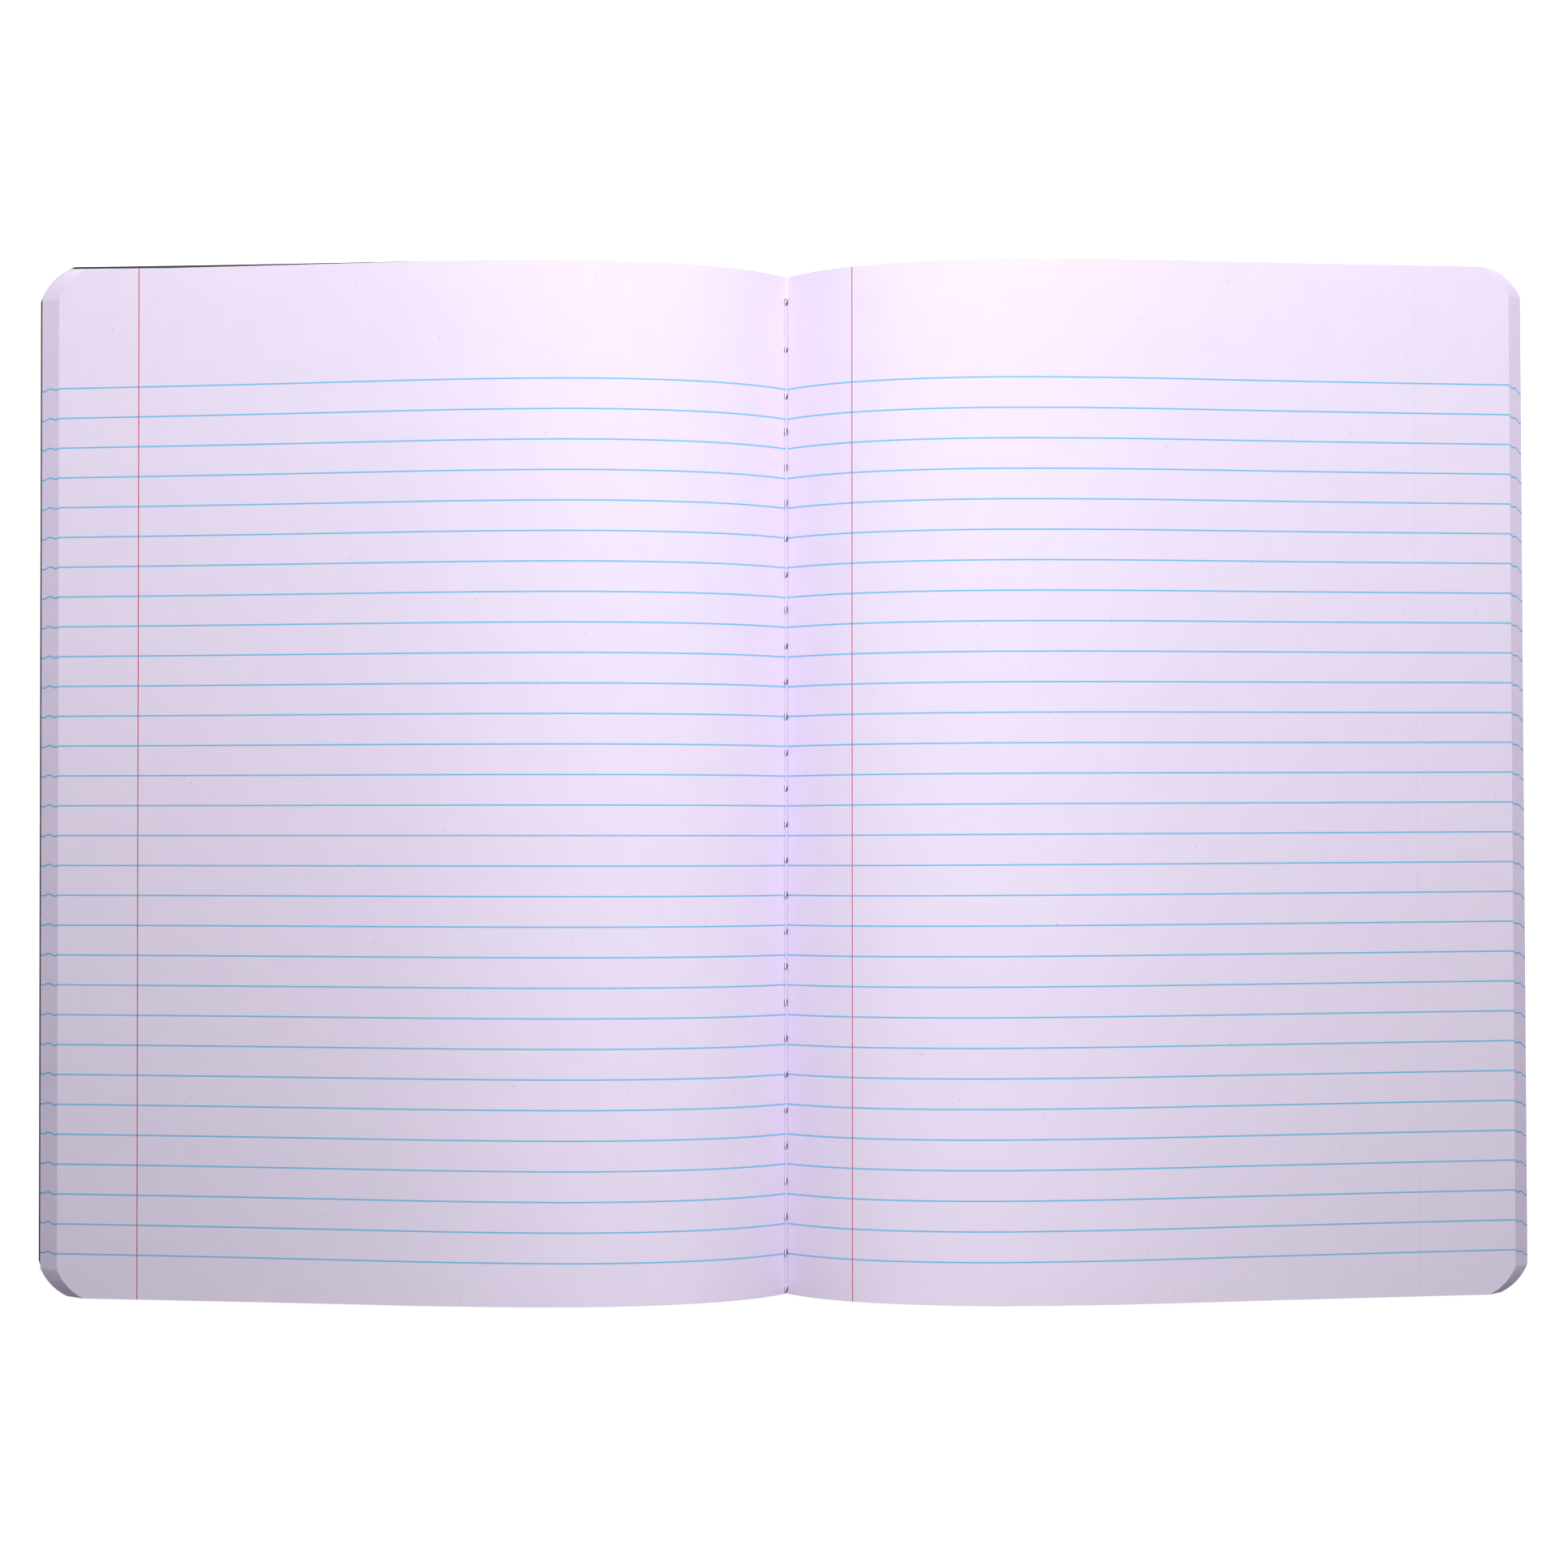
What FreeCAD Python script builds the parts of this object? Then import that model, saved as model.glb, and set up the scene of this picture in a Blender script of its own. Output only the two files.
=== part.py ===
import FreeCAD, Part
import math
import os

# Composition notebook, lying face up and opened at the middle of its one sewn section.
# Each half, cover and all, springs up from the fold, rounds over a crest and runs down to
# its fore-edge. Millimetres: +X to the right-hand page, +Y to the head of the pages, +Z up.
# The origin is the middle of the spine's flat underside, on the table.

# Leaves
page_height = 245.0
leaf_length = 185.8
leaves_per_side = 50
leaf_thickness = 0.094
fold_radius = 0.5

# Bow of the top leaf from its fold outward: radius and angle turned, in degrees
shoulder_radius = 50.0
shoulder_angle = 38.5
crest_radius = 71.2
crest_angle = 24.5
back_radius = 188.0
back_angle = 11.3
tail_radius = 1285.0

# Fore-edges: how far the lowest leaf runs out past the top one, along the leaf
left_stagger = 6.1
right_stagger = 4.8

# Corners: an arc that starts and ends a cut's length from the square corner, longer on the covers
corner_radius = 12.7
leaf_corner_cut = 6.7
cover_corner_cut = 8.6

# Covers: two boards held only by the tape, the front one lying under the left-hand half
board_thickness = 0.8
board_gap = 0.3
front_overhang = 0.5
back_overhang = 0.1
front_out_of_square = 1.6

# Cloth tape round the spine and onto the outside of both boards
tape_thickness = 0.25
tape_gap = 0.1
tape_reach = 25.0

# Sewing through the fold, with two longer stitches at the head
thread_diameter = 0.44
thread_gap = 0.04
thread_sides = 8
hole_width = 1.5
hole_length = 0.6
sewing_head_margin = 6.8
sewing_foot_margin = 1.3
long_stitch = 11.3
long_stitches = 2
stitch = 8.56

# Depths below the top leaf, where each layer's upper and lower faces lie
stack_thickness = leaves_per_side * leaf_thickness
board_depth = stack_thickness + board_gap
tape_depth = board_depth + board_thickness + tape_gap
thread_radius = thread_diameter / 2
run_depth = stack_thickness + thread_gap + thread_radius

# Height of the fold's centre line over the table: the tape lies flat under the outer thread
tape_flat = fold_radius + run_depth + thread_radius + thread_gap
fold_height = tape_flat + tape_thickness

# How far a corner cutter reaches past the paper, beside it and as a share of its thickness
cutter_margin = 5.0
cutter_share = 0.5


def radii(depth):
    """Radii of the bow's four arcs at a depth: the last one bends the other way."""
    return [shoulder_radius - depth, crest_radius - depth, back_radius - depth, tail_radius + depth]


def bow_turns(depth=0.0, run_out=0.0):
    """Angle turned by each arc, for a layer that runs out past the top leaf."""
    turns = [-shoulder_angle, -crest_angle, -back_angle]
    bowed = sum(radius * math.radians(-turn) for radius, turn in zip(radii(0.0), turns))
    tail = (leaf_length - bowed) / tail_radius + run_out / (tail_radius + depth)
    return turns + [math.degrees(tail)]


def turns_within(depth, length):
    """The same turns, cut short at a length measured at a depth."""
    kept = []
    for radius, turn in zip(radii(depth), bow_turns()):
        arc_length = radius * math.radians(abs(turn))
        share = min(1.0, length / arc_length)
        kept.append(turn * share)
        length -= arc_length * share
        if share < 1.0:
            break
    return kept


def walk(depth, turns, rise):
    """Arcs of a layer in the X-Z plane from the fold's centre, as start, middle and end points."""
    radius = fold_radius + depth
    heading = math.radians(rise)
    x = radius * math.sin(heading)
    z = -radius * math.cos(heading)
    arcs = []
    for radius, turn in zip(radii(depth), turns):
        points = [(x, z)]
        signed = math.copysign(radius, turn)
        centre_x = x - signed * math.sin(heading)
        centre_z = z + signed * math.cos(heading)
        for share in (0.5, 1.0):
            angle = heading + math.radians(turn) * share
            x = centre_x + signed * math.sin(angle)
            z = centre_z - signed * math.cos(angle)
            points.append((x, z))
        heading += math.radians(turn)
        arcs.append(points)
    return arcs, math.degrees(heading)


class Half:
    """One side of the opening: its leaves and its board follow the same bow."""

    def __init__(self, side, stagger, overhang, out_of_square):
        self.side = side
        self.out_of_square = out_of_square
        self.leaf_turns = bow_turns()
        self.lowest_turns = bow_turns(stack_thickness, stagger)
        self.board_turns = bow_turns(board_depth, stagger + overhang)
        self.rise = self.resting_rise()

    def resting_rise(self):
        """Slope at the fold that lays the board's fore-edge level with the spine."""
        arcs = walk(board_depth + board_thickness, self.board_turns, 0.0)[0]
        x, z = arcs[-1][-1]
        return math.degrees(math.asin(-fold_height / math.hypot(x, z)) - math.atan2(z, x))

    def point(self, x, z):
        """A point of the half in the notebook's own frame."""
        return FreeCAD.Vector(self.side * x, 0, fold_height + z)

    def edges(self, depth, turns):
        """Arcs of one layer."""
        arcs = walk(depth, turns, self.rise)[0]
        return [Part.Arc(*[self.point(x, z) for x, z in points]).toShape() for points in arcs]

    def start(self, depth):
        """Where a layer leaves the fold."""
        angle = math.radians(self.rise)
        radius = fold_radius + depth
        return self.point(radius * math.sin(angle), -radius * math.cos(angle))

    def end(self, depth, turns):
        """Where a layer ends, and the direction that it points there."""
        arcs, heading = walk(depth, turns, self.rise)
        slope = math.radians(heading)
        outward = FreeCAD.Vector(self.side * math.cos(slope), 0, math.sin(slope))
        return self.point(*arcs[-1][-1]), outward


left = Half(-1, left_stagger, front_overhang, front_out_of_square)
right = Half(1, right_stagger, back_overhang, 0.0)
halves = (left, right)


def line(start, end):
    return Part.LineSegment(start, end).toShape()


def extrude(edges, height=page_height):
    """Closed outline in the X-Z plane drawn out along the page height, from its foot."""
    outline = Part.Wire(Part.__sortEdges__(edges))
    solid = Part.Face(outline).extrude(FreeCAD.Vector(0, height, 0))
    solid.translate(FreeCAD.Vector(0, -page_height / 2, 0))
    return solid


def fold_arc(depth):
    """Arc round the fold's centre line that joins a layer's two halves."""
    bottom = FreeCAD.Vector(0, 0, fold_height - fold_radius - depth)
    return Part.Arc(left.start(depth), bottom, right.start(depth)).toShape()


def corner_cutter(cut, tip, outward, drop, end):
    """Waste outside the rounded corner at the head (end 1) or foot (end -1) of a fore-edge."""

    def at(out, beyond):
        return tip + outward * out + FreeCAD.Vector(0, end * beyond, 0)

    inset = math.sqrt(corner_radius ** 2 - cut ** 2 / 2)
    middle = (corner_radius - inset) / math.sqrt(2) - cut / 2
    arc = Part.Arc(at(0, -cut), at(middle, middle), at(-cut, 0)).toShape()
    bounds = [
        at(-cut, 0),
        at(-cut, cutter_margin),
        at(cutter_margin, cutter_margin),
        at(cutter_margin, -cut),
        at(0, -cut),
    ]
    sides = [line(start, stop) for start, stop in zip(bounds, bounds[1:])]
    waste = Part.Face(Part.Wire(Part.__sortEdges__([arc] + sides)))
    waste.translate(drop * -cutter_share)
    return waste.extrude(drop * (1 + 2 * cutter_share))


def stitch_places():
    """Y of every needle hole, from head to foot."""
    places = [page_height / 2 - sewing_head_margin]
    for _ in range(long_stitches):
        places.append(places[-1] - long_stitch)
    while places[-1] - stitch > sewing_foot_margin - page_height / 2:
        places.append(places[-1] - stitch)
    return places


def pages():
    """All the leaves, nested in one fold and pierced for the sewing."""
    edges = [fold_arc(0.0), fold_arc(stack_thickness)]
    cutters = []
    for half in halves:
        edges += half.edges(0.0, half.leaf_turns)
        edges += half.edges(stack_thickness, half.lowest_turns)
        top, outward = half.end(0.0, half.leaf_turns)
        lowest = half.end(stack_thickness, half.lowest_turns)[0]
        edges.append(line(top, lowest))
        for end in (-1, 1):
            tip = top + FreeCAD.Vector(0, end * page_height / 2, 0)
            cutters.append(corner_cutter(leaf_corner_cut, tip, outward, lowest - top, end))
    for place in stitch_places():
        corner = FreeCAD.Vector(-hole_width / 2, place - hole_length / 2, 0)
        cutters.append(Part.makeBox(hole_width, hole_length, 2 * fold_height, corner))
    return extrude(edges).cut(cutters)


def board(half):
    """One cover: a bowed board whose head may run out of square towards the fore-edge."""
    top, outward = half.end(board_depth, half.board_turns)
    bottom = half.end(board_depth + board_thickness, half.board_turns)[0]
    edges = half.edges(board_depth, half.board_turns)
    edges += half.edges(board_depth + board_thickness, half.board_turns)
    edges.append(line(top, bottom))
    edges.append(line(half.start(board_depth), half.start(board_depth + board_thickness)))
    solid = extrude(edges, page_height + half.out_of_square)

    head = page_height / 2
    far_x = top.x + half.side * cutter_margin
    far_y = head + half.out_of_square * far_x / top.x
    beyond = head + half.out_of_square + cutter_margin
    corners = [(0, head), (far_x, far_y), (far_x, beyond), (0, beyond), (0, head)]
    outline = Part.makePolygon([FreeCAD.Vector(x, y, 0) for x, y in corners])
    waste = Part.Face(outline).extrude(FreeCAD.Vector(0, 0, 2 * shoulder_radius))
    waste.translate(FreeCAD.Vector(0, 0, -shoulder_radius))
    cutters = [waste]
    for end, rise in ((-1, 0.0), (1, half.out_of_square)):
        tip = top + FreeCAD.Vector(0, end * page_height / 2 + rise, 0)
        cutters.append(corner_cutter(cover_corner_cut, tip, outward, bottom - top, end))
    return solid.cut(cutters)


def spine_tape():
    """One strip of cloth tape: curved up against the boards and pressed flat under the spine."""
    edges = []
    turns = turns_within(tape_depth, tape_reach)
    for layer in (0.0, tape_thickness):
        depth = tape_depth + layer
        radius = fold_radius + depth
        flat = tape_flat + layer
        half_width = math.sqrt(radius ** 2 - flat ** 2)
        bend = math.asin(half_width / radius)
        for half in halves:
            angle = (bend + math.radians(half.rise)) / 2
            middle = half.point(radius * math.sin(angle), -radius * math.cos(angle))
            edges.append(Part.Arc(half.point(half_width, -flat), middle, half.start(depth)).toShape())
            edges += half.edges(depth, turns)
        edges.append(line(left.point(half_width, -flat), right.point(half_width, -flat)))
    for half in halves:
        ends = [half.end(tape_depth + layer, turns)[0] for layer in (0.0, tape_thickness)]
        edges.append(line(*ends))
    return extrude(edges)


def straight_thread(height, from_y, to_y):
    """A length of thread along the fold."""
    corners = []
    for index in range(thread_sides + 1):
        angle = 2 * math.pi * (index % thread_sides + 0.5) / thread_sides
        offset = FreeCAD.Vector(thread_radius * math.cos(angle), 0, thread_radius * math.sin(angle))
        corners.append(FreeCAD.Vector(0, from_y, height) + offset)
    section = Part.Face(Part.makePolygon(corners))
    return section.extrude(FreeCAD.Vector(0, to_y - from_y, 0))


inner_height = fold_height - fold_radius + thread_gap + thread_radius
run_height = fold_height - fold_radius - run_depth
leg_offset = thread_diameter + thread_gap


def inner_thread():
    """The thread that lies along the fold, on top of the pages."""
    places = stitch_places()
    return straight_thread(inner_height, places[-1] - thread_diameter, places[0] + thread_diameter)


def loop_outline(reach):
    """Outline round both threads at a distance from their axes: arched over the inner one."""
    low = run_height + leg_offset - reach
    low_left = FreeCAD.Vector(-reach, 0, low)
    high_left = FreeCAD.Vector(-reach, 0, inner_height)
    crown = FreeCAD.Vector(0, 0, inner_height + reach)
    high_right = FreeCAD.Vector(reach, 0, inner_height)
    low_right = FreeCAD.Vector(reach, 0, low)
    sides = [line(low_left, high_left), line(high_right, low_right), line(low_right, low_left)]
    return Part.Wire(Part.__sortEdges__(sides + [Part.Arc(high_left, crown, high_right).toShape()]))


def outer_thread():
    """The thread outside the fold, with a loop up through each hole and over the inner one."""
    places = stitch_places()
    run = straight_thread(run_height, places[-1], places[0])
    loops = []
    for place in places:
        around = Part.Face(loop_outline(leg_offset + thread_radius))
        loop = around.cut(Part.Face(loop_outline(leg_offset - thread_radius)))
        loop.translate(FreeCAD.Vector(0, place - thread_radius, 0))
        loops.append(loop.extrude(FreeCAD.Vector(0, thread_diameter, 0)))
    return run.fuse(loops)


nodes = {
    "pages": pages(),
    "front_cover": board(left),
    "back_cover": board(right),
    "spine_tape": spine_tape(),
    "inner_thread": inner_thread(),
    "outer_thread": outer_thread(),
}

os.makedirs("parts", exist_ok=True)
for name, shape in nodes.items():
    shape.exportStep(f"parts/{name}.step")
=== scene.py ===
import bpy
import math
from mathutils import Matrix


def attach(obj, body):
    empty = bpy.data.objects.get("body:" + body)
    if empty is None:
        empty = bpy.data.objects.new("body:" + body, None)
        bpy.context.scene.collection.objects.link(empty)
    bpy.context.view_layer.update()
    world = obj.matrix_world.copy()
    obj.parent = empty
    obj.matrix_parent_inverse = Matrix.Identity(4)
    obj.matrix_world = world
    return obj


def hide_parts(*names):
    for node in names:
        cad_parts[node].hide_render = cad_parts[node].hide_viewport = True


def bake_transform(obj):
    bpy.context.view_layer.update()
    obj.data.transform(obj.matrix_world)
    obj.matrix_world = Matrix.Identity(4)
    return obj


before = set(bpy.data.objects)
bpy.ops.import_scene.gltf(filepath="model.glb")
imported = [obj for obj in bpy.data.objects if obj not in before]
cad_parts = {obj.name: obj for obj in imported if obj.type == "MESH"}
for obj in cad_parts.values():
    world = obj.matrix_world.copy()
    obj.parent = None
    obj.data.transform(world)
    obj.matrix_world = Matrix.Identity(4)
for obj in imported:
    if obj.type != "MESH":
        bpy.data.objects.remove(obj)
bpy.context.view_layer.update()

# Ruled leaves. Fifty sheets of white writing paper are laid on each other, sewn through the middle
# and folded there, which makes a hundred leaves. Each sheet is cut flat with rounded corners and
# needle holes, and a node tree then lays it round the fold and over the bow of each half.
mm = 0.001
page_height = 245.0 * mm
leaf_length = 185.8 * mm
sheets = 50
sheet_pitch = 0.094 * mm
sheet_thickness = 0.09 * mm
stack_thickness = sheets * sheet_pitch

# Bow of the top leaf from its fold outward: radius and angle turned
fold_radius = 0.5 * mm
shoulder_radius, shoulder_turn = 50.0 * mm, math.radians(38.5)
crest_radius, crest_turn = 71.2 * mm, math.radians(24.5)
back_radius, back_turn = 188.0 * mm, math.radians(11.3)
tail_radius = 1285.0 * mm
bowed_length = shoulder_radius * shoulder_turn + crest_radius * crest_turn + back_radius * back_turn
tail_turn = (leaf_length - bowed_length) / tail_radius

# Lowest leaf past the top one along the leaf, and both boards past that. The boards lie right
# under the leaves, so the height of the fold and the slope at it come from them.
left_stagger, right_stagger = 6.1 * mm, 4.8 * mm
left_overhang, right_overhang = 0.5 * mm, 0.1 * mm
gap_over_board = 0.3 * mm
board_depth = stack_thickness + gap_over_board
board_thickness = 0.8 * mm
fold_height = 5.97 * mm

# How far each half turns toward the head, as rise over run
left_splay, right_splay = 0.0002, 0.0056

# Rounded corners: the die's radius, and how far along each edge its cut reaches
corner_radius = 12.7 * mm
leaf_corner_cut = 6.7 * mm

# Trimmed shut, every layer comes out a little shorter at the fold than at its fore-edge: how far
# each end of a layer is past half the page's height
head_at_fold, head_at_edge = -0.9 * mm, 0.6 * mm
foot_at_fold, foot_at_edge = -0.4 * mm, 0.6 * mm

# Needle holes from head to foot: the first stitches are longer
first_hole = page_height / 2 - 6.8 * mm
long_stitch, long_stitches, stitch = 11.3 * mm, 2, 8.56 * mm
holes = 28
hole_places = [first_hole]
while len(hole_places) < holes:
    step = long_stitch if len(hole_places) <= long_stitches else stitch
    hole_places.append(hole_places[-1] - step)
hole_centre, hole_half_width, hole_half_length = -0.28 * mm, 0.6 * mm, 1.1 * mm


def bow_end(depth, run_out):
    """End of a layer in the X-Z plane from the fold's centre, for a bow that leaves the fold level."""
    x, z, heading = 0.0, -(fold_radius + depth), 0.0
    arcs = [
        (depth - shoulder_radius, shoulder_turn),
        (depth - crest_radius, crest_turn),
        (depth - back_radius, back_turn),
        (tail_radius + depth, tail_turn + run_out / (tail_radius + depth)),
    ]
    for radius, turn in arcs:
        after = heading + math.copysign(turn, radius)
        x += radius * (math.sin(after) - math.sin(heading))
        z += radius * (math.cos(heading) - math.cos(after))
        heading = after
    return x, z


def rise_at_fold(run_out):
    """Slope at the fold that lays a board's fore-edge on the table, level with the spine."""
    x, z = bow_end(board_depth + board_thickness, run_out)
    return math.asin(-fold_height / math.hypot(x, z)) - math.atan2(z, x)


left_rise = rise_at_fold(left_stagger + left_overhang)
right_rise = rise_at_fold(right_stagger + right_overhang)
end_slope = tail_turn - shoulder_turn - crest_turn - back_turn

# Top leaf of each half with its part of the fold
left_length = leaf_length + fold_radius * left_rise
right_length = leaf_length + fold_radius * right_rise


def add(tree, kind, *inputs, **settings):
    """A node with its settings, and its inputs in order as values, nodes or sockets."""
    new = tree.nodes.new(kind)
    for name, value in settings.items():
        setattr(new, name, value)
    for socket, value in zip([s for s in new.inputs if s.enabled], inputs):
        if isinstance(value, bpy.types.Node):
            value = next(s for s in value.outputs if s.enabled)
        if isinstance(value, bpy.types.NodeSocket):
            tree.links.new(value, socket)
        elif value is not None:
            socket.default_value = value
    return new


def new_tree(name, inputs, outputs):
    """An empty geometry node tree with named sockets, and the sockets that give its inputs.

    Each input holds its default value: None stands for a mesh or a curve, "" for a material.
    """
    tree = bpy.data.node_groups.new(name, "GeometryNodeTree")
    kinds = {
        int: "NodeSocketInt",
        float: "NodeSocketFloat",
        tuple: "NodeSocketVector",
        str: "NodeSocketMaterial",
        type(None): "NodeSocketGeometry",
    }
    for label, value in inputs.items():
        socket = tree.interface.new_socket(label, in_out="INPUT", socket_type=kinds[type(value)])
        if isinstance(value, (int, float, tuple)):
            socket.default_value = value
    for label, kind in outputs.items():
        tree.interface.new_socket(label, in_out="OUTPUT", socket_type=kind)
    return tree, tree.nodes.new("NodeGroupInput").outputs


# One arc of the bow: how far a point is carried along it and up, and which way it then heads
arc_tree, given = new_tree(
    "bow_arc",
    {"Run": 0.0, "Start": 0.0, "Radius": 1.0, "Length": 1.0, "Heading": 0.0},
    {label: "NodeSocketFloat" for label in ("X", "Z", "End", "Heading")},
)
past = add(arc_tree, "ShaderNodeMath", given["Run"], given["Start"], operation="SUBTRACT")
along = add(arc_tree, "ShaderNodeClamp", past, 0.0, given["Length"])
turned = add(arc_tree, "ShaderNodeMath", along, given["Radius"], operation="DIVIDE")
heading = add(arc_tree, "ShaderNodeMath", given["Heading"], turned, operation="ADD")
sine_before = add(arc_tree, "ShaderNodeMath", given["Heading"], operation="SINE")
sine_after = add(arc_tree, "ShaderNodeMath", heading, operation="SINE")
cosine_before = add(arc_tree, "ShaderNodeMath", given["Heading"], operation="COSINE")
cosine_after = add(arc_tree, "ShaderNodeMath", heading, operation="COSINE")
sideways = add(arc_tree, "ShaderNodeMath", sine_after, sine_before, operation="SUBTRACT")
upward = add(arc_tree, "ShaderNodeMath", cosine_before, cosine_after, operation="SUBTRACT")
x = add(arc_tree, "ShaderNodeMath", sideways, given["Radius"], operation="MULTIPLY")
z = add(arc_tree, "ShaderNodeMath", upward, given["Radius"], operation="MULTIPLY")
end = add(arc_tree, "ShaderNodeMath", given["Start"], given["Length"], operation="ADD")
add(arc_tree, "NodeGroupOutput", x, z, end, heading)

# The whole bow: stacks a flat blank in layers, lays each round the fold and over the arcs,
# presses it on the table where it would go under, and splays both halves toward the head
bow_tree, given = new_tree(
    "lay_over_bow",
    {
        "Blank": None,
        "Layers": 1,
        "Layer pitch": 0.0,
        "Depth": 0.0,
        "Thickness": sheet_thickness,
        "Growth left": 0.0,
        "Growth right": 0.0,
        "Fold radius": fold_radius,
        "Fold height": fold_height,
        "Rise left": left_rise,
        "Rise right": right_rise,
        "Shoulder radius": shoulder_radius,
        "Shoulder turn": shoulder_turn,
        "Crest radius": crest_radius,
        "Crest turn": crest_turn,
        "Back radius": back_radius,
        "Back turn": back_turn,
        "Tail radius": tail_radius,
        "Longest tail": 1.0,
        "Splay left": left_splay,
        "Splay right": right_splay,
        "Foot": -page_height / 2,
        "Reach": leaf_length,
        "Material": "",
    },
    {"Piece": "NodeSocketGeometry"},
)
layer_points = add(bow_tree, "GeometryNodePoints", given["Layers"])
stacked = add(bow_tree, "GeometryNodeInstanceOnPoints", layer_points, None, given["Blank"])
number = add(bow_tree, "GeometryNodeInputIndex")
numbered = add(
    bow_tree,
    "GeometryNodeStoreNamedAttribute",
    stacked,
    None,
    "layer",
    number,
    data_type="FLOAT",
    domain="INSTANCE",
)
loose = add(bow_tree, "GeometryNodeRealizeInstances", numbered)
layer = add(bow_tree, "GeometryNodeInputNamedAttribute", "layer", data_type="FLOAT")
flat = add(bow_tree, "ShaderNodeSeparateXYZ", add(bow_tree, "GeometryNodeInputPosition"))
run, across, raised = flat.outputs
is_left = add(bow_tree, "ShaderNodeMath", run, 0.0, operation="LESS_THAN")
side = add(bow_tree, "ShaderNodeMath", is_left, -2.0, 1.0, operation="MULTIPLY_ADD")
rise = add(bow_tree, "ShaderNodeMix", is_left, given["Rise right"], given["Rise left"])
growth = add(bow_tree, "ShaderNodeMix", is_left, given["Growth right"], given["Growth left"])
splay = add(bow_tree, "ShaderNodeMix", is_left, given["Splay right"], given["Splay left"])
below_top = add(bow_tree, "ShaderNodeMath", layer, given["Layer pitch"], operation="MULTIPLY")
depth = add(bow_tree, "ShaderNodeMath", below_top, given["Depth"], operation="ADD")
stretch = add(bow_tree, "ShaderNodeMath", below_top, growth, 1.0, operation="MULTIPLY_ADD")
from_fold = add(bow_tree, "ShaderNodeMath", run, operation="ABSOLUTE")
distance = add(bow_tree, "ShaderNodeMath", from_fold, stretch, operation="MULTIPLY")

# Fold and tail bend upward, so a lower layer has a wider arc there, and a tighter one between
fold = add(bow_tree, "ShaderNodeMath", given["Fold radius"], depth, operation="ADD")
arc_radii = [fold]
arc_turns = [rise]
for bend in ("Shoulder", "Crest", "Back"):
    arc_radii.append(add(bow_tree, "ShaderNodeMath", depth, given[f"{bend} radius"], operation="SUBTRACT"))
    arc_turns.append(given[f"{bend} turn"])
arc_radii.append(add(bow_tree, "ShaderNodeMath", given["Tail radius"], depth, operation="ADD"))
arc_turns.append(given["Longest tail"])
bend_x, bend_z = 0.0, add(bow_tree, "ShaderNodeMath", fold, -1.0, operation="MULTIPLY")
reached, heading = 0.0, 0.0
for radius, turn in zip(arc_radii, arc_turns):
    signed = add(bow_tree, "ShaderNodeMath", radius, turn, operation="MULTIPLY")
    length = add(bow_tree, "ShaderNodeMath", signed, operation="ABSOLUTE")
    arc = add(
        bow_tree, "GeometryNodeGroup", distance, reached, radius, length, heading, node_tree=arc_tree
    )
    bend_x = add(bow_tree, "ShaderNodeMath", bend_x, arc.outputs["X"], operation="ADD")
    bend_z = add(bow_tree, "ShaderNodeMath", bend_z, arc.outputs["Z"], operation="ADD")
    reached, heading = arc.outputs["End"], arc.outputs["Heading"]

sine = add(bow_tree, "ShaderNodeMath", heading, operation="SINE")
cosine = add(bow_tree, "ShaderNodeMath", heading, operation="COSINE")
lean = add(bow_tree, "ShaderNodeMath", sine, raised, operation="MULTIPLY")
outward = add(bow_tree, "ShaderNodeMath", bend_x, lean, operation="SUBTRACT")
lift = add(bow_tree, "ShaderNodeMath", cosine, raised, bend_z, operation="MULTIPLY_ADD")
height = add(bow_tree, "ShaderNodeMath", lift, given["Fold height"], operation="ADD")
lowest = add(bow_tree, "ShaderNodeMath", given["Thickness"], raised, operation="ADD")
pressed = add(bow_tree, "ShaderNodeMath", height, lowest, operation="MAXIMUM")
from_foot = add(bow_tree, "ShaderNodeMath", across, given["Foot"], operation="SUBTRACT")
pull = add(bow_tree, "ShaderNodeMath", from_foot, splay, operation="MULTIPLY")
narrowing = add(bow_tree, "ShaderNodeMath", pull, given["Reach"], operation="DIVIDE")
taper = add(bow_tree, "ShaderNodeMath", 1.0, narrowing, operation="SUBTRACT")
tapered = add(bow_tree, "ShaderNodeMath", outward, taper, operation="MULTIPLY")
placed_x = add(bow_tree, "ShaderNodeMath", tapered, side, operation="MULTIPLY")
placed_y = add(bow_tree, "ShaderNodeMath", tapered, splay, across, operation="MULTIPLY_ADD")
place = add(bow_tree, "ShaderNodeCombineXYZ", placed_x, placed_y, pressed)
laid = add(bow_tree, "GeometryNodeSetPosition", loose, None, place)
whole = add(bow_tree, "GeometryNodeRealizeInstances", laid)
finished = add(bow_tree, "GeometryNodeSetMaterial", whole, None, given["Material"])
add(bow_tree, "NodeGroupOutput", finished)


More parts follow.
